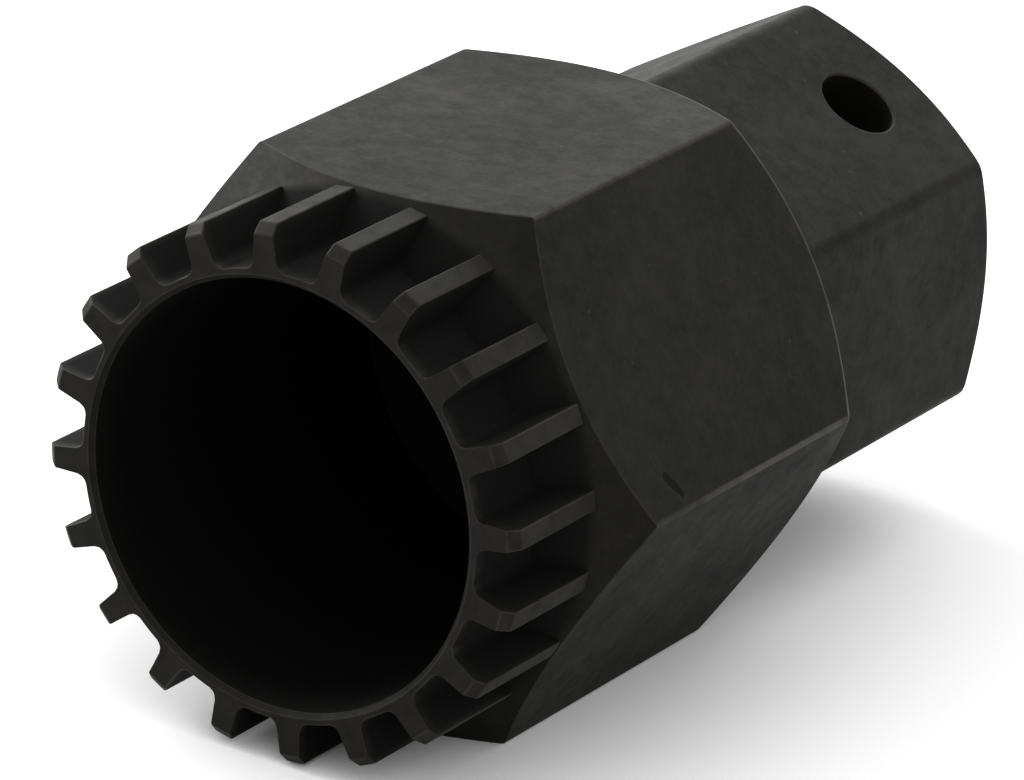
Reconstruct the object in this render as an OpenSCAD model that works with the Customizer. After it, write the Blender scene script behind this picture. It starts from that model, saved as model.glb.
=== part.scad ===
// Bottom bracket tool in one piece of steel: a ring of outward splines at the
// front, a hexagonal body, and a smaller hexagonal shank with a square socket.
// It lies on one flat of its body with the axis along Y. The origin is the
// centre of the bore mouth, on the front face of the ring.

/* [Bore] */
// Diameter of the bore that clears the spindle
bore_d = 25.3; // [20:0.1:27]
// Depth of the bore at its full diameter
bore_depth = 27.5; // [16:0.5:29]
// Chamfer at the mouth of the bore
bore_chamfer = 0.3; // [0.1:0.05:0.4]
// Included angle of the conical bottom of the bore
point_angle = 118; // [100:1:140]

/* [Splined ring] */
// Number of teeth around the ring
tooth_count = 20; // [12:1:24]
// Wall of the ring between the bore and the bottom of a gullet
ring_wall = 0.65; // [0.5:0.05:3]
// Height of the teeth above the bottom of the gullets
tooth_height = 2.65; // [1.5:0.05:3]
// Width of a tooth across its tip
tip_w = 1.2; // [0.8:0.1:1.6]
// Width of a tooth where its flanks meet the bottom of the gullets
base_w = 1.6; // [1.2:0.1:2.2]
// Radius in the corners of each gullet
gullet_r = 0.7; // [0.2:0.1:0.8]
// Chamfer that leads the tooth tips into a cup
lead_in = 0.6; // [0.2:0.1:1.2]
// Bevel at the rear end of each tooth, beyond its step over the body flats
tooth_runout = 0.25; // [0.1:0.05:0.5]
// Angle of the first tooth from a corner of the body
tooth_turn = 11.9; // [0:0.1:18]

/* [Body] */
// Size of the body across its flats
body_af = 32; // [29:0.5:34]
// Distance from the front face to the body flats, at their middle
shoulder = 8.2; // [7:0.1:12]
// Angle of the shoulder cone from the axis
shoulder_angle = 47; // [40:1:60]
// Distance from the front face to the rear face of the body
body_end = 34; // [32:0.1:40]
// Angle of the chamfer on the rear corners of the body, from the axis
body_chamfer_angle = 45; // [30:1:60]
// Distance by which that chamfer cuts in past the body flats
body_face_inset = 0.45; // [0.1:0.05:1]

/* [Drive shank] */
// Size of the shank across its flats
shank_af = 25.4; // [20:0.1:27]
// Overall length of the tool
tool_length = 56.9; // [52:0.1:70]
// Angle of the chamfer on the rear corners of the shank, from the axis
shank_chamfer_angle = 50; // [30:1:60]
// Distance by which that chamfer cuts in past the shank flats
shank_face_inset = 0.4; // [0.1:0.05:1]
// Turn of the shank flats against the body flats
shank_turn = 30; // [0:1:60]

/* [Drive socket] */
// Size of the square socket across its flats
socket_af = 9.6; // [9.5:0.1:13]
// Depth of the square socket
socket_depth = 16; // [10:0.5:17]
// Distance by which the mouth's chamfer reaches out past the socket corners
mouth_margin = 0.3; // [0.1:0.1:1]
// Angle of the chamfer at the mouth of the socket, from the axis
mouth_angle = 60; // [45:1:70]
// Diameter of the hole for the detent ball of the drive
detent_d = 4.8; // [2.5:0.1:6]
// Distance from the rear face of the shank to the middle of the detent hole
detent_inset = 6.3; // [4:0.1:9]

/* [Hidden] */
$fn = 96;
steel = [0.19, 0.19, 0.185];
// How far cutting and joining forms reach past the surfaces they meet
past = 1;
// How far each gullet corner dips below the root circle, so that it crosses it
dip = 0.005;

bore_r = bore_d / 2;
root_r = bore_r + ring_wall;
tip_r = root_r + tooth_height;
body_r = body_af / 2;
shank_r = shank_af / 2;
hex_corner = 1 / cos(30);
tooth_pitch = 360 / tooth_count;

// Direction of a tooth flank, and the normal that points into the gullet
flank_run = [tooth_height, (tip_w - base_w) / 2];
flank_dir = flank_run / norm(flank_run);
flank_out = [-flank_dir.y, flank_dir.x];
// Centre of the gullet corner, which touches the flank and the root circle
flank_shift = [root_r, base_w / 2] + gullet_r * flank_out;
shift_along = flank_shift * flank_dir;
corner_along = sqrt(shift_along ^ 2 - flank_shift * flank_shift + (root_r + gullet_r - dip) ^ 2) - shift_along;
corner_centre = flank_shift + corner_along * flank_dir;

// Fillet between one flank of a tooth and the bottom of the gullet
module gullet_corner() {
    difference() {
        polygon([
            [root_r - past, 0],
            corner_centre - gullet_r * flank_out,
            corner_centre,
            corner_centre * (root_r - past) / (root_r + gullet_r)
        ]);
        translate(corner_centre) circle(r = gullet_r);
    }
}

// Outline of one tooth along +X, longer than the ring's tip radius
module tooth_outline() {
    end_w = base_w + (tip_w - base_w) * (tooth_height + past) / tooth_height;
    polygon([
        [root_r - past, -base_w / 2],
        [root_r, -base_w / 2],
        [tip_r + past, -end_w / 2],
        [tip_r + past, end_w / 2],
        [root_r, base_w / 2],
        [root_r - past, base_w / 2]
    ]);
    gullet_corner();
    mirror([0, 1]) gullet_corner();
}

// Turned form of the ring, with the lead-in and the run-out of the teeth
module ring_turning() {
    runout = max(tip_r - body_r, 0) + tooth_runout;
    rotate_extrude() polygon([
        [0, 0],
        [tip_r - lead_in, 0],
        [tip_r, lead_in],
        [tip_r, shoulder - runout],
        [tip_r - runout, shoulder],
        [0, shoulder]
    ]);
}

module splined_ring() {
    intersection() {
        ring_turning();
        linear_extrude(height = shoulder) {
            circle(r = root_r);
            for (i = [0 : tooth_count - 1]) rotate(tooth_turn + i * tooth_pitch) tooth_outline();
        }
    }
}

// Hexagonal bar along the axis, with one corner on +X
module hex_bar(flat_r, from, to) {
    translate([0, 0, from]) cylinder(h = to - from, r = flat_r * hex_corner, $fn = 6);
}

// Hexagonal body between the shoulder cone and the chamfer of its rear corners
module body() {
    corner_r = body_r * hex_corner + past;
    cone_r = root_r - past;
    cone_z = shoulder - (body_r - cone_r) / tan(shoulder_angle);
    face_r = body_r - body_face_inset;
    intersection() {
        hex_bar(body_r, 0, body_end);
        rotate_extrude() polygon([
            [0, cone_z],
            [cone_r, cone_z],
            [corner_r, cone_z + (corner_r - cone_r) / tan(shoulder_angle)],
            [corner_r, body_end - (corner_r - face_r) / tan(body_chamfer_angle)],
            [face_r, body_end],
            [0, body_end]
        ]);
    }
}

// Hexagonal shank, sunk into the body, with the chamfer of its rear corners
module shank() {
    corner_r = shank_r * hex_corner + past;
    face_r = shank_r - shank_face_inset;
    start = body_end - past;
    intersection() {
        rotate(shank_turn) hex_bar(shank_r, start, tool_length);
        rotate_extrude() polygon([
            [0, start],
            [corner_r, start],
            [corner_r, tool_length - (corner_r - face_r) / tan(shank_chamfer_angle)],
            [face_r, tool_length],
            [0, tool_length]
        ]);
    }
}

// Spindle bore, with the chamfer at its mouth and the cone left by the drill
module bore() {
    rotate_extrude() polygon([
        [0, -past],
        [bore_r + bore_chamfer + past, -past],
        [bore_r, bore_chamfer],
        [bore_r, bore_depth],
        [0, bore_depth + bore_r / tan(point_angle / 2)]
    ]);
}

// Square socket in the rear face, with its chamfered mouth
module drive_socket() {
    mouth_r = socket_af / sqrt(2) + mouth_margin;
    inner_r = socket_af / 2 - past;
    rotate(shank_turn) translate([-socket_af / 2, -socket_af / 2, tool_length - socket_depth])
        cube([socket_af, socket_af, socket_depth + past]);
    rotate_extrude() polygon([
        [0, tool_length - (mouth_r - inner_r) / tan(mouth_angle)],
        [inner_r, tool_length - (mouth_r - inner_r) / tan(mouth_angle)],
        [mouth_r + past * tan(mouth_angle), tool_length + past],
        [0, tool_length + past]
    ]);
}

// Hole through one shank flat into the socket
module detent_hole() {
    flat_angle = shank_turn - 90;
    translate([0, 0, tool_length - detent_inset]) rotate([0, 90, flat_angle])
        cylinder(h = shank_r + past, r = detent_d / 2);
}

module tool_body() {
    color(steel) rotate([-90, 0, 0]) difference() {
        union() {
            splined_ring();
            body();
            shank();
        }
        bore();
        drive_socket();
        detent_hole();
    }
}

tool_body();
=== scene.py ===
"""Bottom bracket tool in blackened steel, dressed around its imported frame.

The tool lies along +Y with the middle of its bore mouth at the origin. Sizes in
the classes are in millimetres, heights are distances along the axis from the
front face, and angles are in degrees round the axis from a corner of the body.
"""

import logging
import math
from dataclasses import dataclass, field
from enum import Enum

import bmesh
import bpy
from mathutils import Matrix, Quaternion, Vector

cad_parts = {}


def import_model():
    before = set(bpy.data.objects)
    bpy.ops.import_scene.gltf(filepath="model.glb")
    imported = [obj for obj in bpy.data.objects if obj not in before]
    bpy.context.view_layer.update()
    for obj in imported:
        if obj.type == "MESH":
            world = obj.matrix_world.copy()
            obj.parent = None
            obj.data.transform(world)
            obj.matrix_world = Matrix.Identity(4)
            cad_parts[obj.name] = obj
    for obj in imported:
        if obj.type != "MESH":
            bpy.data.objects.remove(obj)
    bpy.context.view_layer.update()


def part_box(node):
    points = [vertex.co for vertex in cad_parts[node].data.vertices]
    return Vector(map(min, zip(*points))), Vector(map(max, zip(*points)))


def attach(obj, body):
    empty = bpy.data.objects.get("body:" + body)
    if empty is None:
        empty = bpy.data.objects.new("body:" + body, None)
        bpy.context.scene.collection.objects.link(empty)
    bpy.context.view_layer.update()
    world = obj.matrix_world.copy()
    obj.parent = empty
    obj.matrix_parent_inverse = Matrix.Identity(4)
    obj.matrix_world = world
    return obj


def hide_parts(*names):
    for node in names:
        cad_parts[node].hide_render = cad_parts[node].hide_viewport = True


MM = 0.001
FULL_TURN = 360.0
HEX_SIDES = 6
HEX_STEP = FULL_TURN / HEX_SIDES
SQUARE_SIDES = 4
TINY = 1e-6
NODE = "tool_body"
PIECE = "tool_body_steel"
WEAR_AND_HIGHLIGHT = "wear_and_highlight"
BEVEL_WEIGHT = "bevel_weight_edge"

MATH = "ShaderNodeMath"
VECTOR_MATH = "ShaderNodeVectorMath"
MIX = "ShaderNodeMix"
MAP_RANGE = "ShaderNodeMapRange"

Pair = tuple[float, float]
Triple = tuple[float, float, float]
Tree = bpy.types.NodeTree
Socket = bpy.types.NodeSocket
Points = list[bmesh.types.BMVert]

log = logging.getLogger("bottom_bracket_tool")


class Rounding(Enum):
    """Width of the small rounding that finishes each kind of edge, in mm."""

    NONE = 0.0
    TOOTH = 0.1
    MOUTH = 0.05
    SHOULDER = 0.09
    TURNED = 0.18
    REAR = 0.25
    CORNER = 0.3


class Skin(Enum):
    """The two skins that the detent hole breaks through."""

    SHANK = "shank"
    SOCKET = "socket"


@dataclass
class Row:
    """One closed row of points round the axis, with a point for each column."""

    radii: list[float]
    heights: list[float]
    rounding: list[Rounding]
    ribs: dict[int, Rounding]
    angles: dict[int, float]


def place(radius: float, angle: float, height: float) -> Vector:
    """Turn a place on the tool, in mm and degrees, into a point in metres."""
    turn = math.radians(angle)
    return Vector((radius * math.cos(turn), height, -radius * math.sin(turn))) * MM


def off_nearest(angle: float, first: float, step: float) -> float:
    """Signed angle from the nearest of the directions that repeat by a step."""
    return (angle - first + step / 2) % step - step / 2


def both_sides(middles: list[float], offsets: list[float]) -> list[float]:
    """Angles that lie at each offset to both sides of each middle."""
    return [middle + side * off for middle in middles for side in (-1, 1) for off in offsets]


def polygon_radius(flat_r: float, sides: int, flat_angle: float, angle: float) -> float:
    """Distance from the axis to the side of a regular bar, in mm.

    Args:
        flat_r: Distance from the axis to each flat.
        sides: Number of flats.
        flat_angle: Angle at which one flat faces outward.
        angle: Angle at which the distance is wanted.

    Returns:
        The distance at that angle.
    """
    step = FULL_TURN / sides
    off = off_nearest(angle, flat_angle, step)
    return flat_r / math.cos(math.radians(off))


@dataclass
class SplinedRing:
    """Ring of outward splines that engages the bearing cup."""

    bore_r: float = 12.65
    bore_depth: float = 27.5
    bore_chamfer: float = 0.3
    point_angle: float = 118.0
    ring_wall: float = 0.65
    tooth_count: int = 20
    tooth_height: float = 2.65
    tip_w: float = 1.2
    base_w: float = 1.6
    gullet_r: float = 0.7
    lead_in: float = 0.6
    tooth_turn: float = 11.9
    fillet_steps: int = 5
    floor_steps: int = 2

    def __post_init__(self) -> None:
        """Work out the outline of one tooth from its driving sizes."""
        self.root_r = self.bore_r + self.ring_wall
        self.tip_r = self.root_r + self.tooth_height
        self.lead_r = self.tip_r - self.lead_in
        self.pitch = FULL_TURN / self.tooth_count
        self.flank_foot = Vector((self.root_r, self.base_w / 2))
        self.flank_dir = Vector((self.tooth_height, (self.tip_w - self.base_w) / 2)).normalized()
        outward = Vector((-self.flank_dir.y, self.flank_dir.x))
        shifted = self.flank_foot + self.gullet_r * outward
        along = shifted.dot(self.flank_dir)
        reach = along ** 2 - shifted.length_squared + (self.root_r + self.gullet_r) ** 2
        self.fillet_centre = shifted + (math.sqrt(reach) - along) * self.flank_dir
        self.fillet_start = self.bearing(self.fillet_centre - self.gullet_r * outward)
        self.fillet_end = self.bearing(self.fillet_centre)

    @staticmethod
    def bearing(point: Vector) -> float:
        """Angle of a point of the outline from the middle of its tooth."""
        return math.degrees(math.atan2(point.y, point.x))

    def flank_bearing(self, radius: float) -> float:
        """Find where the flank of a tooth reaches a radius.

        Args:
            radius: Distance from the axis, in mm.

        Returns:
            The angle from the middle of the tooth.
        """
        along = self.flank_foot.dot(self.flank_dir)
        reach = along ** 2 - self.flank_foot.length_squared + radius ** 2
        return self.bearing(self.flank_foot + (math.sqrt(reach) - along) * self.flank_dir)

    def radius(self, angle: float) -> float:
        """Follow the splined outline round the axis.

        Args:
            angle: Angle at which the radius is wanted.

        Returns:
            The radius of the tip, flank, fillet or gullet there, in mm.
        """
        off = abs(off_nearest(angle, self.tooth_turn, self.pitch))
        ray = Vector((math.cos(math.radians(off)), math.sin(math.radians(off))))
        if off <= self.flank_bearing(self.tip_r) + TINY:
            return self.tip_r
        if off <= self.fillet_start:
            cross = ray.x * self.flank_dir.y - ray.y * self.flank_dir.x
            step = -(ray.x * self.flank_foot.y - ray.y * self.flank_foot.x) / cross
            return (self.flank_foot + step * self.flank_dir).length
        if off < self.fillet_end:
            along = ray.dot(self.fillet_centre)
            reach = along ** 2 - self.fillet_centre.length_squared + self.gullet_r ** 2
            return along - math.sqrt(max(reach, 0.0))
        return self.root_r

    def corner_offsets(self, notch_r: float) -> list[float]:
        """Angles from the middle of a tooth where its edges start and end."""
        return [self.flank_bearing(r) for r in (self.tip_r, notch_r, self.lead_r)]

    def smooth_offsets(self) -> list[float]:
        """Spread points over the curves of a tooth.

        Returns:
            The angles from the middle of the tooth that carry its curves.
        """
        bend = self.fillet_end - self.fillet_start
        floor = self.pitch / 2 - self.fillet_end
        fillet = [self.fillet_start + bend * i / self.fillet_steps for i in range(self.fillet_steps + 1)]
        level = [self.fillet_end + floor * (i + 1) / self.floor_steps for i in range(self.floor_steps)]
        return [0.0, *fillet, *level]


@dataclass
class HexBody:
    """Hexagonal body behind the ring, with the cone of its shoulder."""

    across_flats: float = 32.0
    shoulder: float = 8.2
    shoulder_angle: float = 47.0
    end: float = 34.0
    chamfer_angle: float = 45.0
    face_inset: float = 0.45
    tooth_runout: float = 0.25

    def __post_init__(self) -> None:
        """Work out the radii of the flats and of the rear face."""
        self.flat_r = self.across_flats / 2
        self.face_r = self.flat_r - self.face_inset

    def radius(self, angle: float) -> float:
        """Radius of the body at an angle, in mm."""
        return polygon_radius(self.flat_r, HEX_SIDES, HEX_STEP / 2, angle)

    def cone_height(self, radius: float) -> float:
        """Height at which the shoulder cone has a radius, in mm."""
        return self.shoulder - (self.flat_r - radius) / math.tan(math.radians(self.shoulder_angle))

    def runout_height(self, radius: float, tip_r: float) -> float:
        """Height at which the bevel behind the teeth has a radius, in mm."""
        return self.shoulder - (max(tip_r - self.flat_r, 0.0) + self.tooth_runout) + tip_r - radius

    def chamfer_height(self, radius: float) -> float:
        """Height at which the chamfer of the rear corners has a radius, in mm."""
        return self.end - (radius - self.face_r) / math.tan(math.radians(self.chamfer_angle))

    def notch_radius(self, tip_r: float) -> float:
        """Find where the bevel behind the teeth meets the shoulder cone.

        Args:
            tip_r: Radius of the tooth tips, in mm.

        Returns:
            The radius at which they meet, in mm.
        """
        slope = 1 / math.tan(math.radians(self.shoulder_angle))
        gap = self.runout_height(0.0, tip_r) - self.cone_height(0.0)
        return gap / (1 + slope)


@dataclass
class DriveShank:
    """Smaller hexagonal shank behind the body, with its square socket."""

    across_flats: float = 25.4
    end: float = 56.9
    chamfer_angle: float = 50.0
    face_inset: float = 0.4
    turn: float = 30.0
    corner_rounding: float = 1.0
    socket_af: float = 9.6
    socket_depth: float = 16.0
    mouth_margin: float = 0.3
    mouth_angle: float = 60.0

    def __post_init__(self) -> None:
        """Work out the radii that the rows use."""
        self.flat_r = self.across_flats / 2
        self.face_r = self.flat_r - self.face_inset
        half_step = HEX_STEP / 2
        half_flat = (self.flat_r - self.corner_rounding) * math.tan(math.radians(half_step))
        self.corner_spread = half_step - math.degrees(math.atan2(half_flat, self.flat_r))
        self.socket_r = self.socket_af / 2
        self.mouth_r = self.socket_r * math.sqrt(2) + self.mouth_margin

    def radius(self, angle: float) -> float:
        """Follow the outline of the shank, with its rounded corners.

        Args:
            angle: Angle at which the radius is wanted.

        Returns:
            The radius there, in mm.
        """
        sharp = polygon_radius(self.flat_r, HEX_SIDES, HEX_STEP / 2 + self.turn, angle)
        middle = (self.flat_r - self.corner_rounding) / math.cos(math.radians(HEX_STEP / 2))
        off = math.radians(off_nearest(angle, self.turn, HEX_STEP))
        reach = self.corner_rounding ** 2 - (middle * math.sin(off)) ** 2
        if abs(math.degrees(off)) > self.corner_spread or reach < 0:
            return sharp
        return min(sharp, middle * math.cos(off) + math.sqrt(reach))

    def socket_radius(self, angle: float) -> float:
        """Distance from the axis to the wall of the square socket, in mm."""
        return polygon_radius(self.socket_r, SQUARE_SIDES, self.turn, angle)

    def chamfer_height(self, radius: float) -> float:
        """Height at which the chamfer of the rear corners has a radius, in mm."""
        return self.end - (radius - self.face_r) / math.tan(math.radians(self.chamfer_angle))

    def mouth_height(self, radius: float) -> float:
        """Height at which the cone of the socket's mouth has a radius, in mm."""
        return self.end - (self.mouth_r - radius) / math.tan(math.radians(self.mouth_angle))


@dataclass
class DetentHole:
    """Hole through one flat of the shank into the socket."""

    diameter: float = 4.8
    inset: float = 6.3
    angle: float = 300.0
    collar: float = 0.65
    clearance: float = 1.05
    steps: int = 64

    def __post_init__(self) -> None:
        """Work out the radii of the hole, its collar and its patch."""
        self.radius = self.diameter / 2
        self.collar_r = self.radius + self.collar
        self.patch_r = self.radius + self.clearance

    def ring(self, radius: float, depth: float, middle: float) -> list[Vector]:
        """Points of a circle round the axis of the hole.

        Args:
            radius: Radius of the circle, in mm.
            depth: Distance of its plane from the axis of the tool, in mm.
            middle: Height of the hole on the tool, in mm.

        Returns:
            The points in metres, in order.
        """
        turn = math.radians(self.angle)
        out = Vector((math.cos(turn), 0, -math.sin(turn)))
        side = Vector((-math.sin(turn), 0, -math.cos(turn)))
        points = []
        for i in range(self.steps):
            a = 2 * math.pi * i / self.steps
            along = Vector((0, middle + radius * math.sin(a), 0))
            points.append(MM * (depth * out + radius * math.cos(a) * side + along))
        return points


@dataclass
class ToolBody:
    """The whole tool as one closed mesh, built row by row along its section."""

    ring: SplinedRing = field(default_factory=SplinedRing)
    body: HexBody = field(default_factory=HexBody)
    shank: DriveShank = field(default_factory=DriveShank)
    hole: DetentHole = field(default_factory=DetentHole)
    corner_room: float = 1.2
    corner_columns: int = 4
    bend_room: float = 0.35
    column_room: float = 0.2
    angle_digits: int = 6
    edge_segments: int = 4
    same_point: float = 1e-4
    plain: int = 0
    rounded: int = 1
    smooth_angles: Pair = (35.0, 50.0)
    # Share of lightening of each kind of face: wearing of the coat plus painted highlight on the edges,
    # front face, lead-ins and lands.
    edge_wear_and_highlight: float = 1.0
    front_wear_and_highlight: float = 0.2
    front_depth: float = 0.01
    lead_in_wear_and_highlight: float = 0.4
    land_wear_and_highlight: float = 0.35
    land_share: float = 0.995

    def __post_init__(self) -> None:
        """Work out the columns and heights that the rows share."""
        self.notch_r = self.body.notch_radius(self.ring.tip_r)
        self.hole_height = self.shank.end - self.hole.inset
        self.patch_start = self.hole_height - self.hole.patch_r
        self.patch_end = self.hole_height + self.hole.patch_r
        self.columns = self.column_angles()
        self.rows: list[Row] = []
        self.row_of: dict[str, int] = {}

    def column_angles(self) -> list[float]:
        """Choose the angles of all columns.

        Edges of the teeth and corners of the bars always have a column. The
        columns that only carry a curve keep clear of them.

        Returns:
            The angles, in order.
        """
        corner_step = HEX_STEP / 2
        quarter = FULL_TURN / SQUARE_SIDES
        ring, shank = self.ring, self.shank
        hexes = [i * corner_step for i in range(round(FULL_TURN / corner_step))]
        squares = [shank.turn + quarter / 2 + quarter * i for i in range(SQUARE_SIDES)]
        corners = [a % FULL_TURN for a in hexes + squares]
        steps = [shank.corner_spread * i / self.corner_columns for i in range(1, self.corner_columns + 1)]
        bends = both_sides([shank.turn + HEX_STEP * i for i in range(HEX_SIDES)], steps)
        teeth = [ring.tooth_turn + i * ring.pitch for i in range(ring.tooth_count)]
        edges = [a % FULL_TURN for a in both_sides(teeth, ring.corner_offsets(self.notch_r))]
        curves = {round(a % FULL_TURN, self.angle_digits) for a in both_sides(teeth, ring.smooth_offsets())}

        def clear(angle: float, others: list[float], room: float) -> bool:
            """Tell whether an angle keeps its distance from all others."""
            return all(abs(off_nearest(angle, other, FULL_TURN)) > room for other in others)

        kept = corners + edges
        for angle in bends:
            if clear(angle, kept, self.bend_room):
                kept.append(angle % FULL_TURN)
        for angle in sorted(curves):
            if clear(angle, corners, self.corner_room) and clear(angle, kept, self.column_room):
                kept.append(angle)
        return sorted(kept)

    def add_row(self, name: str, radii: list[float], heights: list[float],
                rounding: Rounding | list[Rounding] = Rounding.NONE,
                ribs: dict[int, Rounding] | None = None, angles: dict[int, float] | None = None) -> None:
        """Add the next row of the section.

        Args:
            name: Name of the row.
            radii: Radius at each column, in mm.
            heights: Height at each column, in mm.
            rounding: Rounding of the row's own edges, one for all or one each.
            ribs: Rounding of the edges from this row to the next, by column.
            angles: Angles of the points that stand off their columns, by column.
        """
        each = rounding if isinstance(rounding, list) else [rounding] * len(self.columns)
        self.row_of[name] = len(self.rows)
        self.rows.append(Row(radii, heights, each, ribs or {}, angles or {}))

    def level(self, value: float) -> list[float]:
        """The same value for each column."""
        return [value] * len(self.columns)

    def corner_ribs(self) -> dict[int, Rounding]:
        """Rounding of the long edges of the body, by column."""
        corners = {round(i * HEX_STEP, self.angle_digits) for i in range(HEX_SIDES)}
        return {j: Rounding.CORNER for j, a in enumerate(self.columns)
                if round(a, self.angle_digits) in corners}

    def add_bore_rows(self) -> None:
        """Rows of the bore, from the point of its drill cone to the front face."""
        ring = self.ring
        apex = ring.bore_depth + ring.bore_r / math.tan(math.radians(ring.point_angle / 2))
        self.add_row("apex", self.level(0.0), self.level(apex))
        self.add_row("bore_end", self.level(ring.bore_r), self.level(ring.bore_depth))
        self.add_row("bore_start", self.level(ring.bore_r), self.level(ring.bore_chamfer), Rounding.MOUTH)
        self.add_row("mouth", self.level(ring.bore_r + ring.bore_chamfer), self.level(0.0), Rounding.MOUTH)

    def add_ring_rows(self) -> None:
        """Rows of the teeth, from the front face to the shoulder cone."""
        ring, body = self.ring, self.body
        outline = [ring.radius(a) for a in self.columns]
        front = [min(r, ring.lead_r) for r in outline]
        tip_off, lead_off = ring.flank_bearing(ring.tip_r), ring.flank_bearing(ring.lead_r)
        offs = [off_nearest(a, ring.tooth_turn, ring.pitch) for a in self.columns]
        tip_ribs = {j: Rounding.TOOTH for j, off in enumerate(offs) if abs(abs(off) - tip_off) < TINY}
        drawn = {j: self.columns[j] - off + math.copysign(lead_off, off)
                 for j, off in enumerate(offs) if tip_off - TINY < abs(off) < lead_off}
        inner = {j: a for j, a in drawn.items() if j not in tip_ribs}
        lead = [ring.lead_r if j in inner else r for j, r in enumerate(outline)]
        rise = [max(r - ring.lead_r, 0.0) for r in lead]
        high = [r > self.notch_r + TINY for r in outline]
        tail = [Rounding.TOOTH if a or b else Rounding.NONE for a, b in zip(high, high[1:] + high[:1])]
        ends = [body.runout_height(r, ring.tip_r) if up else body.cone_height(r)
                for r, up in zip(outline, high)]
        notch = [min(r, self.notch_r) for r in outline]
        self.add_row("front", front, self.level(0.0), Rounding.TOOTH, angles=drawn)
        self.add_row("lead_in", lead, rise, Rounding.TOOTH, ribs=tip_ribs, angles=inner)
        self.add_row("tooth_end", outline, ends, tail)
        self.add_row("cone_start", notch, [body.cone_height(r) for r in notch])

    def add_body_rows(self) -> None:
        """Rows of the hexagonal body, from the cone to its rear face."""
        body = self.body
        outline = [body.radius(a) for a in self.columns]
        cone = [body.cone_height(r) for r in outline]
        chamfer = [body.chamfer_height(r) for r in outline]
        self.add_row("cone_end", outline, cone, Rounding.SHOULDER, ribs=self.corner_ribs())
        self.add_row("body_chamfer", outline, chamfer, Rounding.REAR)
        self.add_row("body_face", self.level(body.face_r), self.level(body.end), Rounding.REAR)

    def add_shank_rows(self) -> None:
        """Rows of the shank, from the body's rear face to its own."""
        shank = self.shank
        outline = [shank.radius(a) for a in self.columns]
        chamfer = [shank.chamfer_height(r) for r in outline]
        self.add_row("shank_foot", outline, self.level(self.body.end))
        self.add_row("shank_low", outline, self.level(self.patch_start))
        self.add_row("shank_high", outline, self.level(self.patch_end))
        self.add_row("shank_chamfer", outline, chamfer, Rounding.TURNED)
        self.add_row("shank_face", self.level(shank.face_r), self.level(shank.end), Rounding.TURNED)

    def add_socket_rows(self) -> None:
        """Rows of the square socket, from its mouth to the middle of its floor."""
        shank = self.shank
        wall = [shank.socket_radius(a) for a in self.columns]
        floor = shank.end - shank.socket_depth
        self.add_row("socket_mouth", self.level(shank.mouth_r), self.level(shank.end), Rounding.MOUTH)
        self.add_row("socket_edge", wall, [shank.mouth_height(r) for r in wall], Rounding.MOUTH)
        self.add_row("socket_high", wall, self.level(self.patch_end))
        self.add_row("socket_low", wall, self.level(self.patch_start))
        self.add_row("socket_floor", wall, self.level(floor))
        self.add_row("socket_centre", self.level(0.0), self.level(floor))

    def patch_columns(self, skin: Skin) -> tuple[int, int]:
        """Find the patch of a skin that the detent hole pierces.

        Args:
            skin: Skin of the shank or of the socket.

        Returns:
            The first and the last column of the patch.
        """
        depth = self.shank.flat_r if skin is Skin.SHANK else self.shank.socket_r
        spread = math.degrees(math.atan2(self.hole.patch_r, depth))
        first = max(j for j, a in enumerate(self.columns) if a <= self.hole.angle - spread)
        last = min(j for j, a in enumerate(self.columns) if a >= self.hole.angle + spread)
        return first, last

    def grid(self, bm: bmesh.types.BMesh) -> list[Points]:
        """Create the points of all rows, one point where rows run together.

        Args:
            bm: Mesh that receives the points.

        Returns:
            The points of each row, by column.
        """
        grid: list[Points] = []
        for row in self.rows:
            line: Points = []
            for j, angle in enumerate(self.columns):
                at = place(row.radii[j], row.angles.get(j, angle), row.heights[j])
                if line and (line[-1].co - at).length < self.same_point * MM:
                    line.append(line[-1])
                elif grid and (grid[-1][j].co - at).length < self.same_point * MM:
                    line.append(grid[-1][j])
                else:
                    line.append(bm.verts.new(at))
            grid.append(line)
        return grid

    def skin_faces(self, bm: bmesh.types.BMesh, grid: list[Points]) -> None:
        """Span the rows with faces, apart from the two patches at the hole.

        Args:
            bm: Mesh that receives the faces.
            grid: Points of each row, by column.
        """
        count = len(self.columns)
        gaps = {}
        for skin in Skin:
            low, high = self.row_of[skin.value + "_low"], self.row_of[skin.value + "_high"]
            gaps[min(low, high)] = self.patch_columns(skin)
        for i in range(len(grid) - 1):
            first, last = gaps.get(i, (count, count))
            for j in range(count):
                if first <= j < last:
                    continue
                k = (j + 1) % count
                ring = [grid[i][j], grid[i + 1][j], grid[i + 1][k], grid[i][k]]
                corners = [v for n, v in enumerate(ring) if v is not ring[n - 1]]
                if len(set(corners)) > 2:
                    bm.faces.new(corners)

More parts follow.
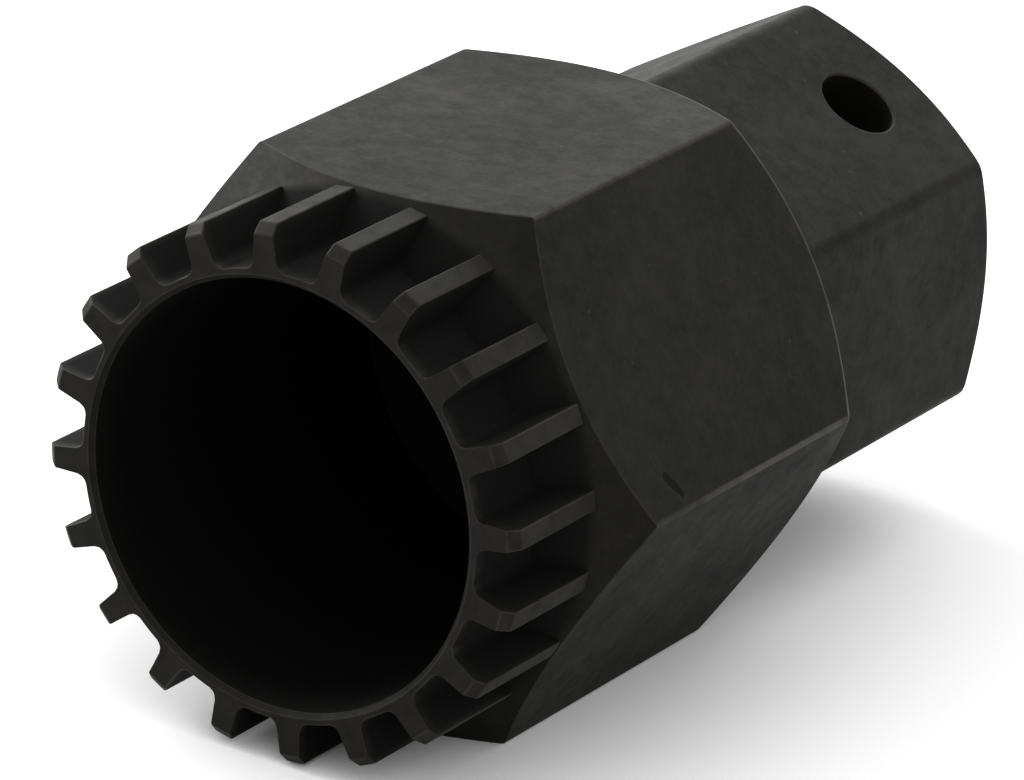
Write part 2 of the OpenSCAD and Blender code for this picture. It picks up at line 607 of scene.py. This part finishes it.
    def pierce(self, bm: bmesh.types.BMesh, grid: list[Points]) -> list[bmesh.types.BMEdge]:
        """Build the detent hole and join it to the shank and the socket.

        Args:
            bm: Mesh that receives the hole.
            grid: Points of each row, by column.

        Returns:
            The edges of the hole's two rims.
        """
        hole, shank = self.hole, self.shank
        depths = {Skin.SHANK: shank.flat_r, Skin.SOCKET: shank.socket_r}
        rims = []
        loops = []
        for skin, depth in depths.items():
            collar = [bm.verts.new(p) for p in hole.ring(hole.collar_r, depth, self.hole_height)]
            rim = [bm.verts.new(p) for p in hole.ring(hole.radius, depth, self.hole_height)]
            low, high = grid[self.row_of[skin.value + "_low"]], grid[self.row_of[skin.value + "_high"]]
            first, last = self.patch_columns(skin)
            border = low[first:last + 1] + high[first:last + 1][::-1]
            edges = []
            for loop in (collar, border):
                pairs = [(loop[n - 1], vert) for n, vert in enumerate(loop)]
                edges += [bm.edges.get(pair) or bm.edges.new(pair) for pair in pairs]
            bmesh.ops.triangle_fill(bm, edges=edges, use_beauty=True)
            loops += [collar, rim] if skin is Skin.SHANK else [rim, collar]
            rims.append(rim)
        for near, far in zip(loops, loops[1:]):
            for n in range(hole.steps):
                bm.faces.new((near[n - 1], near[n], far[n], far[n - 1]))
        return [bm.edges.get((rim[n - 1], vert)) for rim in rims for n, vert in enumerate(rim)]

    def mark_edges(self, bm: bmesh.types.BMesh, grid: list[Points], rims: list[bmesh.types.BMEdge]) -> None:
        """Give each edge its share of the widest rounding.

        Args:
            bm: Mesh with all its edges.
            grid: Points of each row, by column.
            rims: Edges of the detent hole's rims.
        """
        weights = bm.edges.layers.float[BEVEL_WEIGHT]
        widest = max(r.value for r in Rounding)
        count = len(self.columns)
        wanted = [(*edge.verts, Rounding.TURNED) for edge in rims]
        for i, row in enumerate(self.rows):
            wanted += [(grid[i][j], grid[i][(j + 1) % count], row.rounding[j]) for j in range(count)]
            wanted += [(grid[i][j], grid[i + 1][j], rib) for j, rib in row.ribs.items()]
        for start, end, rounding in wanted:
            edge = None if start is end else bm.edges.get((start, end))
            if edge is not None:
                edge[weights] = max(edge[weights], rounding.value / widest)

    def round_edges(self, rough: bpy.types.Mesh) -> bpy.types.Mesh:
        """Round the marked edges and record where the coat is drawn lighter, by wearing and painted
        highlight.

        Args:
            rough: Mesh with a weight on each edge to round. It is used up.

        Returns:
            The finished mesh, with the share of wearing and painted highlight at each point.
        """
        rough.materials.append(None)
        rough.materials.append(None)
        carrier = bpy.data.objects.new("rough", rough)
        bpy.context.scene.collection.objects.link(carrier)
        bevel = carrier.modifiers.new("rounding", "BEVEL")
        bevel.limit_method = "WEIGHT"
        bevel.width = max(r.value for r in Rounding) * MM
        bevel.segments = self.edge_segments
        bevel.use_clamp_overlap = False
        bevel.miter_outer = "MITER_ARC"
        bevel.material = self.rounded
        done = bpy.data.meshes.new_from_object(carrier.evaluated_get(bpy.context.evaluated_depsgraph_get()))
        bpy.data.objects.remove(carrier)
        bm = bmesh.new()
        bm.from_mesh(done)
        bmesh.ops.remove_doubles(bm, verts=bm.verts, dist=self.same_point * MM)
        wear_and_highlight = bm.verts.layers.float.new(WEAR_AND_HIGHLIGHT)
        for vert in bm.verts:
            vert[wear_and_highlight] = min(self.wear_and_highlight_share(face) for face in vert.link_faces)
        normals = self.corner_normals(bm)
        for face in bm.faces:
            face.material_index = self.plain
            face.smooth = True
        bm.to_mesh(done)
        bm.free()
        done.materials.clear()
        done.normals_split_custom_set(normals)
        return done

    def wear_and_highlight_share(self, face: bmesh.types.BMFace) -> float:
        """Tell how far a face is drawn lighter, by wearing where the tool enters the cups and by painted
        highlight.

        Args:
            face: Face of the rounded mesh.

        Returns:
            The share of lightening, from wearing of the coat and painted highlight.
        """
        middle = face.calc_center_median() / MM
        radius = math.hypot(middle.x, middle.z)
        if face.material_index == self.rounded:
            return self.edge_wear_and_highlight
        if middle.y < self.front_depth:
            return self.front_wear_and_highlight
        if radius > self.ring.lead_r and middle.y < self.ring.lead_in:
            return self.lead_in_wear_and_highlight
        if radius > self.ring.tip_r * self.land_share and middle.y < self.body.shoulder - self.ring.lead_in:
            return self.land_wear_and_highlight
        return 0.0

    def corner_normals(self, bm: bmesh.types.BMesh) -> list[Vector]:
        """Shading normals that keep each face flat up to its rounded edges.

        A point takes the normals of the plain faces around it that carry on the
        same surface, and those of the rounding only where there is no other.

        Args:
            bm: Mesh whose rounded faces have the second material.

        Returns:
            A normal for each corner of each face, in order.
        """
        limits = [math.cos(math.radians(a)) for a in self.smooth_angles]
        normals = []
        for face in bm.faces:
            for vert in face.verts:
                limit = limits[face.material_index]
                near = [f for f in vert.link_faces if f.normal.dot(face.normal) > limit]
                main = [f for f in near if f.material_index == self.plain] or near or [face]
                total = sum((f.normal * f.calc_area() for f in main), Vector())
                normals.append(total.normalized())
        return normals

    def build(self) -> bpy.types.Object:
        """Build the finished piece.

        Returns:
            The object, linked to the scene at the origin of the frame.
        """
        self.add_bore_rows()
        self.add_ring_rows()
        self.add_body_rows()
        self.add_shank_rows()
        self.add_socket_rows()
        bm = bmesh.new()
        bm.edges.layers.float.new(BEVEL_WEIGHT)
        grid = self.grid(bm)
        self.skin_faces(bm, grid)
        rims = self.pierce(bm, grid)
        self.mark_edges(bm, grid, rims)
        bmesh.ops.recalc_face_normals(bm, faces=bm.faces)
        rough = bpy.data.meshes.new("rough")
        bm.to_mesh(rough)
        bm.free()
        piece = bpy.data.objects.new(PIECE, self.round_edges(rough))
        bpy.context.scene.collection.objects.link(piece)
        return piece

    def dress(self, piece: bpy.types.Object) -> None:
        """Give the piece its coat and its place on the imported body."""
        piece.data.materials.append(BlackOxideSteel().build())
        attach(piece, "root")
        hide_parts(NODE)


def linear(colour: str) -> tuple[float, float, float, float]:
    """Turn a colour into the linear values that Blender's sockets take.

    Args:
        colour: sRGB colour as "#RRGGBB".

    Returns:
        Linear red, green, blue and alpha, by the sRGB standard's curve.
    """
    parts = [int(colour[i:i + 2], 16) / 255 for i in (1, 3, 5)]
    values = [c / 12.92 if c <= 0.04045 else ((c + 0.055) / 1.055) ** 2.4 for c in parts]
    return (*values, 1.0)


def add_node(tree: Tree, kind: str, inputs: dict[str | int, object] | None = None,
             **settings: object) -> bpy.types.Node:
    """Add a node with its settings, values and links.

    Args:
        tree: Tree that receives the node.
        kind: Type of the node.
        inputs: Value or source socket of each input, by name or number.
        settings: Properties of the node.

    Returns:
        The new node.
    """
    node = tree.nodes.new(kind)
    for name, value in settings.items():
        setattr(node, name, value)
    for key, value in (inputs or {}).items():
        if isinstance(value, Socket):
            tree.links.new(value, node.inputs[key])
        else:
            node.inputs[key].default_value = value
    return node


@dataclass(frozen=True)
class Mark:
    """Small mark on the surface, as an ellipsoid that reaches into the steel."""

    middle: Triple
    reach: Triple
    core: float = 0.4

    def mask(self, tree: Tree, where: Socket) -> Socket:
        """Add the nodes that find the mark.

        Args:
            tree: Tree of the material.
            where: Socket with the place on the tool, in metres.

        Returns:
            A socket with 1 in the core of the mark, which falls to 0 at its reach.
        """
        middle = [c * MM for c in self.middle]
        reach = [r * MM for r in self.reach]
        off = add_node(tree, VECTOR_MATH, {0: where, 1: middle}, operation="SUBTRACT").outputs["Vector"]
        scaled = add_node(tree, VECTOR_MATH, {0: off, 1: reach}, operation="DIVIDE").outputs["Vector"]
        far = add_node(tree, VECTOR_MATH, {0: scaled}, operation="LENGTH").outputs["Value"]
        span = {"Value": far, "From Min": 1.0, "From Max": self.core}
        return add_node(tree, MAP_RANGE, span, interpolation_type="SMOOTHSTEP").outputs["Result"]


@dataclass(frozen=True)
class Space:
    """Round space along the axis, with the pairs in mm between which it fades."""

    radii: Pair
    start: Pair
    end: Pair

    def mask(self, tree: Tree, where: Socket) -> Socket:
        """Add the nodes that find the space.

        Args:
            tree: Tree of the material.
            where: Socket with the place on the tool, in metres.

        Returns:
            A socket with 1 in the space and 0 outside it.
        """
        height = add_node(tree, "ShaderNodeSeparateXYZ", {0: where}).outputs["Y"]
        flat = add_node(tree, VECTOR_MATH, {0: where, 1: (1, 0, 1)}, operation="MULTIPLY").outputs["Vector"]
        radius = add_node(tree, VECTOR_MATH, {0: flat}, operation="LENGTH").outputs["Value"]
        masks = []
        for value, (first, last) in ((radius, self.radii), (height, self.start), (height, self.end)):
            span = {"Value": value, "From Min": first * MM, "From Max": last * MM}
            masks.append(add_node(tree, MAP_RANGE, span).outputs["Result"])
        behind = add_node(tree, MATH, {0: masks[0], 1: masks[1]}, operation="MULTIPLY").outputs[0]
        return add_node(tree, MATH, {0: behind, 1: masks[2]}, operation="MULTIPLY").outputs[0]


@dataclass(frozen=True)
class BlackOxideSteel:
    """Hex bar steel, turned and milled, then blackened in a hot oxide bath.

    The bath leaves a thin crust of magnetite. To the eye it is a nearly black,
    slightly warm coat with a dull oily sheen, a fine speckle from the crystals
    and a slow mottle where the bath bit more or less. Edges are drawn lighter,
    partly because the coat is thinned over the steel there by wearing and partly
    as painted highlight. The gullets and the bore are drawn blacker as painted shade.
    """

    # The crust hides the metal, so the shader stays a dielectric. A typical gloss
    # is about 0.5 rough. The oiled and porous crust reflects less than the solid
    # mineral, and the specular level is lowered until it matches the photograph
    specular: float = 0.12
    roughness: float = 0.52
    roughness_spread: float = 0.1
    sheltered_roughness: float = 0.78
    rubbed_roughness: float = 0.42
    dark: str = "#11110F"
    light: str = "#201F1B"
    # Painted shade: the first dark colour for the gullets, the bore and the nicks, the second, darker one
    # further into the bore.
    painted_recess_shade: str = "#0F0F0E"
    painted_bore_shade: str = "#050504"
    speck: str = "#33322F"
    # Lighter colours of the edges and of the marked spots: wearing of the coat plus painted highlight.
    rubbed_and_highlit: str = "#3A3833"
    bare_and_highlit: str = "#5F5D57"
    # Size in mm and detail of each pattern. The crystals are far below a hundredth
    # of a millimetre, so the speckle is drawn as coarse as a few pixels
    speckle: Pair = (0.35, 1.0)
    mottle: Pair = (1.3, 3.0)
    stain: Pair = (7.0, 4.0)
    mottle_share: float = 0.65
    stain_share: float = 0.4
    colour_span: Pair = (0.38, 0.62)
    gloss_span: Pair = (0.3, 0.7)
    rub_span: Pair = (0.1, 0.55)
    speck_mm: float = 2.2
    speck_span: Pair = (0.06, 0.02)
    bump_mm: float = 0.006
    nick_mm: float = 0.04
    # Spaces where shade is painted: the gullets together with the bore, and the bore alone.
    gullets: Space = Space((15.95, 15.5), (0.1, 0.9), (32.0, 31.0))
    bore: Space = Space((12.69, 12.66), (0.4, 3.0), (38.0, 37.0))
    # Nicks: dents in relief, drawn in the painted shade colour.
    nicks: tuple[Mark, ...] = (
        Mark((17.35, 12.7, 1.9), (0.4, 0.36, 0.4)),
        Mark((17.5, 12.9, 1.65), (0.44, 0.4, 0.44)),
        Mark((17.65, 13.1, 1.4), (0.44, 0.4, 0.44)),
        Mark((17.8, 13.3, 1.15), (0.4, 0.34, 0.4)),
        Mark((17.95, 13.5, 0.9), (0.34, 0.28, 0.34)),
    )
    # Spots along a long corner edge and the rear rim of the body, drawn lightest as wearing plus painted
    # highlight.
    rubs_and_highlights: tuple[Mark, ...] = (
        Mark((18.2, 26.0, 0.0), (1.2, 13.0, 1.2)),
        Mark((18.0, 33.2, 0.0), (1.6, 1.6, 1.6)),
        Mark((15.8, 33.8, -6.0), (1.6, 1.2, 7.5)),
    )
    bright_specks: tuple[Mark, ...] = (
        Mark((1.2, 51.6, 14.0), (0.22, 0.22, 0.22)),
        Mark((11.9, 42.1, 7.8), (0.2, 0.2, 0.2)),
    )

    def build(self) -> bpy.types.Material:
        """Create the material.

        Returns:
            The material, with the coat's colour, gloss and relief.
        """
        made = bpy.data.materials.new("black_oxide_steel")
        made.use_nodes = True
        tree = made.node_tree
        tree.nodes.clear()
        where = add_node(tree, "ShaderNodeTexCoord").outputs["Object"]
        speckle, mottle, stain = [
            add_node(tree, "ShaderNodeTexNoise", {
                "Vector": where, "Scale": 1 / (size * MM), "Detail": detail}).outputs["Fac"]
            for size, detail in (self.speckle, self.mottle, self.stain)]
        fine = add_node(tree, MIX, {0: self.mottle_share, 2: speckle, 3: mottle}).outputs[0]
        tone = add_node(tree, MIX, {0: self.stain_share, 2: fine, 3: stain}).outputs[0]
        # Mask of the gullets and the bore, where shade is painted.
        painted_recess_shade = self.gullets.mask(tree, where)
        nick = self.any_mark(tree, where, self.nicks)
        rubbed_and_highlit = self.rubbed_and_highlit_edges(tree, mottle)
        rub_and_highlight = self.any_mark(tree, where, self.rubs_and_highlights)
        layers = (
            (self.specks(tree, where), self.speck),
            # Painted shade in the gullets and the bore.
            (painted_recess_shade, self.painted_recess_shade),
            # Darker painted shade in the bore.
            (self.bore.mask(tree, where), self.painted_bore_shade),
            # Edges drawn lighter: wearing plus painted highlight.
            (rubbed_and_highlit, self.rubbed_and_highlit),
            # The marked spots on the edges drawn lightest: wearing plus painted highlight.
            (add_node(tree, MATH, {0: rubbed_and_highlit, 1: rub_and_highlight}, operation="MULTIPLY").outputs[0], self.bare_and_highlit),
            # The nicks in the same painted shade.
            (nick, self.painted_recess_shade),
        )
        span = {"Value": tone, "From Min": self.colour_span[0], "From Max": self.colour_span[1]}
        spread = add_node(tree, MAP_RANGE, span).outputs["Result"]
        crust = {0: spread, 6: linear(self.dark), 7: linear(self.light)}
        colour = add_node(tree, MIX, crust, data_type="RGBA").outputs[2]
        for mask, coat in layers:
            colour = add_node(tree, MIX, {0: mask, 6: colour, 7: linear(coat)}, data_type="RGBA").outputs[2]
        depth = {0: nick, 1: -self.nick_mm / self.bump_mm, 2: speckle}
        relief = add_node(tree, MATH, depth, operation="MULTIPLY_ADD").outputs[0]
        bump = add_node(tree, "ShaderNodeBump", {"Height": relief, "Distance": self.bump_mm * MM})
        shader = add_node(tree, "ShaderNodeBsdfPrincipled", {
            "Base Color": colour, "Roughness": self.gloss(tree, tone, painted_recess_shade, nick, rubbed_and_highlit),
            "Specular IOR Level": self.specular, "Normal": bump.outputs["Normal"]})
        add_node(tree, "ShaderNodeOutputMaterial", {"Surface": shader.outputs["BSDF"]})
        return made

    def gloss(self, tree: Tree, tone: Socket, painted_recess_shade: Socket, nick: Socket, rubbed_and_highlit: Socket) -> Socket:
        """Roughness of the coat, duller in the gullets, bore and nicks and smoother on the edges.

        Args:
            tree: Tree of the material.
            tone: Pattern of the coat.
            painted_recess_shade: Mask of the gullets and the bore.
            nick: Mask of the nicks.
            rubbed_and_highlit: Mask of the rubbed edges.

        Returns:
            A socket with the roughness.
        """
        span = {"Value": tone, "From Min": self.gloss_span[0], "From Max": self.gloss_span[1],
                "To Min": self.roughness + self.roughness_spread,
                "To Max": self.roughness - self.roughness_spread}
        rough = add_node(tree, MAP_RANGE, span).outputs["Result"]
        hidden = add_node(tree, MATH, {0: painted_recess_shade, 1: nick}, operation="MAXIMUM").outputs[0]
        for mask, value in ((hidden, self.sheltered_roughness), (rubbed_and_highlit, self.rubbed_roughness)):
            rough = add_node(tree, MIX, {0: mask, 2: rough, 3: value}).outputs[0]
        return rough

    @staticmethod
    def any_mark(tree: Tree, where: Socket, marks: tuple[Mark, ...]) -> Socket:
        """Find the places that lie in any of the marks.

        Args:
            tree: Tree of the material.
            where: Socket with the place on the tool, in metres.
            marks: Marks to find.

        Returns:
            A socket with the strongest of their masks.
        """
        total = marks[0].mask(tree, where)
        for mark in marks[1:]:
            pair = {0: total, 1: mark.mask(tree, where)}
            total = add_node(tree, MATH, pair, operation="MAXIMUM").outputs[0]
        return total

    def specks(self, tree: Tree, where: Socket) -> Socket:
        """Scatter bright specks and add the larger ones that the photograph shows.

        Args:
            tree: Tree of the material.
            where: Socket with the place on the tool, in metres.

        Returns:
            A socket with 1 on the specks.
        """
        cells = add_node(tree, "ShaderNodeTexVoronoi", {"Vector": where, "Scale": 1 / (self.speck_mm * MM)})
        none, full = self.speck_span
        span = {"Value": cells.outputs["Distance"], "From Min": none, "From Max": full}
        small = add_node(tree, MAP_RANGE, span).outputs["Result"]
        large = self.any_mark(tree, where, self.bright_specks)
        return add_node(tree, MATH, {0: small, 1: large}, operation="MAXIMUM").outputs[0]

    def rubbed_and_highlit_edges(self, tree: Tree, mottle: Socket) -> Socket:
        """Lighten the coat along the edges, by wearing and painted highlight, more in some places than in
        others.

        Args:
            tree: Tree of the material.
            mottle: Pattern that breaks up the lightening.

        Returns:
            A socket with the share of lightening, from wearing and painted highlight.
        """
        edge = add_node(tree, "ShaderNodeAttribute", attribute_name=WEAR_AND_HIGHLIGHT).outputs["Fac"]
        span = {"Value": mottle, "From Min": self.rub_span[0], "From Max": self.rub_span[1]}
        broken = add_node(tree, MAP_RANGE, span).outputs["Result"]
        return add_node(tree, MATH, {0: edge, 1: broken}, operation="MULTIPLY").outputs[0]


def outlook(azimuth: float, elevation: float) -> Vector:
    """Direction away from the tool, by its angles to the front's right and up."""
    turn, rise = math.radians(azimuth), math.radians(elevation)
    return Vector((math.sin(turn) * math.cos(rise), -math.cos(turn) * math.cos(rise), math.sin(rise)))


@dataclass(frozen=True)
class Camera:
    """Camera at the photograph's viewing angle."""

    azimuth: float = 32.265
    elevation: float = 22.036
    roll: float = 3.175
    aim: Triple = (0.0, 23.829, -0.895)
    distance: float = 444.62
    lens: float = 270.026
    sensor: float = 36.0

    def build(self) -> None:
        """Create the camera and make it the scene's."""
        back = outlook(self.azimuth, self.elevation)
        data = bpy.data.cameras.new("camera")
        data.lens = self.lens
        data.sensor_width = self.sensor
        camera = bpy.data.objects.new("camera", data)
        bpy.context.scene.collection.objects.link(camera)
        level = (-back).to_track_quat("-Z", "Y")
        camera.rotation_mode = "QUATERNION"
        camera.rotation_quaternion = level @ Quaternion((0, 0, 1), math.radians(self.roll))
        camera.location = (Vector(self.aim) + back * self.distance) * MM
        bpy.context.scene.camera = camera


@dataclass(frozen=True)
class SoftLamp:
    """Square soft lamp that faces a point near the tool."""

    name: str
    azimuth: float
    elevation: float
    distance: float
    size: float
    power: float
    aim: Triple = (0.0, 25.0, 0.0)

    def build(self) -> None:
        """Create the lamp."""
        out = outlook(self.azimuth, self.elevation)
        data = bpy.data.lights.new(self.name, "AREA")
        data.shape = "SQUARE"
        data.size = self.size * MM
        data.energy = self.power
        lamp = bpy.data.objects.new(self.name, data)
        bpy.context.scene.collection.objects.link(lamp)
        lamp.rotation_mode = "QUATERNION"
        lamp.rotation_quaternion = (-out).to_track_quat("-Z", "Y")
        lamp.location = (Vector(self.aim) + out * self.distance) * MM


@dataclass(frozen=True)
class Studio:
    """Pale floor, soft lamps and even surroundings."""

    floor_colour: str = "#FAFAFA"
    floor_reach: float = 3000.0
    floor_fill: float = 0.8
    floor_gloss: float = 0.25
    # The floor's glow is dimmed by ambient occlusion within this reach of the tool, as a painted contact
    # shadow.
    contact_mm: float = 40.0
    contact_samples: int = 4
    ambient: float = 0.15
    lamps: tuple[SoftLamp, ...] = (
        SoftLamp("lamp_overhead", 0, 88, 700, 700, 0.9),
        SoftLamp("lamp_back_left", 212, 22, 800, 500, 0.5),
        SoftLamp("lamp_back", 182, 45, 800, 500, 0.75),
        SoftLamp("lamp_front_right", 45, 35, 800, 500, 0.6),
        SoftLamp("lamp_left", 270, 30, 800, 500, 4.7),
    )

    @staticmethod
    def background(tree: Tree, seen: float, reflected: float) -> Socket:
        """Strength of the white background by the kind of ray that meets it.

        Args:
            tree: Tree of the floor or the world.
            seen: Strength for what the camera sees, also through glass.
            reflected: Strength for what glossy surfaces reflect.

        Returns:
            A socket with the strength, which is 0 for all other rays.
        """
        ray = add_node(tree, "ShaderNodeLightPath").outputs
        sight = {0: ray["Is Camera Ray"], 1: ray["Is Transmission Ray"]}
        direct = add_node(tree, MATH, sight, operation="MAXIMUM").outputs[0]
        shown = add_node(tree, MATH, {0: direct, 1: seen}, operation="MULTIPLY").outputs[0]
        total = {0: ray["Is Glossy Ray"], 1: reflected, 2: shown}
        return add_node(tree, MATH, total, operation="MULTIPLY_ADD").outputs[0]

    def build_lamps(self) -> None:
        """Create all lamps."""
        for lamp in self.lamps:
            lamp.build()

    def build_floor(self, height: float) -> None:
        """Lay the floor under the tool.

        Args:
            height: Height of the floor in the frame, in metres.
        """
        mesh = bpy.data.meshes.new("floor")
        reach = self.floor_reach * MM
        corners = [(x * reach, y * reach, height) for x, y in ((-1, -1), (1, -1), (1, 1), (-1, 1))]
        mesh.from_pydata(corners, [], [(0, 1, 2, 3)])
        floor = bpy.data.objects.new("floor", mesh)
        bpy.context.scene.collection.objects.link(floor)
        paint = bpy.data.materials.new("floor")
        paint.use_nodes = True
        tree = paint.node_tree
        tree.nodes.clear()
        paper = add_node(tree, "ShaderNodeBsdfDiffuse", {"Color": linear(self.floor_colour)})
        # Painted contact shadow: the glow fades where ambient occlusion finds the tool close by.
        near = add_node(tree, "ShaderNodeAmbientOcclusion", {"Distance": self.contact_mm * MM},
                        samples=self.contact_samples)
        fill = self.background(tree, self.floor_fill, self.floor_gloss)
        glow = add_node(tree, MATH, {0: fill, 1: near.outputs["AO"]}, operation="MULTIPLY")
        white = add_node(tree, "ShaderNodeEmission", {"Strength": glow.outputs[0]})
        both = add_node(tree, "ShaderNodeAddShader", {0: paper.outputs[0], 1: white.outputs[0]})
        add_node(tree, "ShaderNodeOutputMaterial", {"Surface": both.outputs[0]})
        mesh.materials.append(paint)

    def build_world(self) -> None:
        """Light the surroundings evenly."""
        world = bpy.data.worlds.new("surroundings")
        bpy.context.scene.world = world
        world.use_nodes = True
        tree = world.node_tree
        tree.nodes.clear()
        rest = 1 - self.ambient
        total = {0: self.background(tree, rest, rest), 1: self.ambient}
        strength = add_node(tree, MATH, total, operation="ADD").outputs[0]
        white = add_node(tree, "ShaderNodeBackground", {"Color": (1, 1, 1, 1), "Strength": strength})
        add_node(tree, "ShaderNodeOutputWorld", {"Surface": white.outputs[0]})


def main() -> None:
    """Build the tool, dress it and set up the studio."""
    logging.basicConfig(level=logging.INFO, format="%(name)s: %(message)s")
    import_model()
    bpy.context.scene.view_settings.view_transform = "Standard"
    tool = ToolBody()
    piece = tool.build()
    tool.dress(piece)
    log.info("%s: %d points, %d faces", piece.name, len(piece.data.vertices), len(piece.data.polygons))
    Camera().build()
    studio = Studio()
    studio.build_floor(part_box(NODE)[0].z)
    studio.build_world()
    studio.build_lamps()
    log.info("studio: floor, surroundings and %d lamps", len(studio.lamps))
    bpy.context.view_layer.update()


if __name__ == "__main__":
    main()
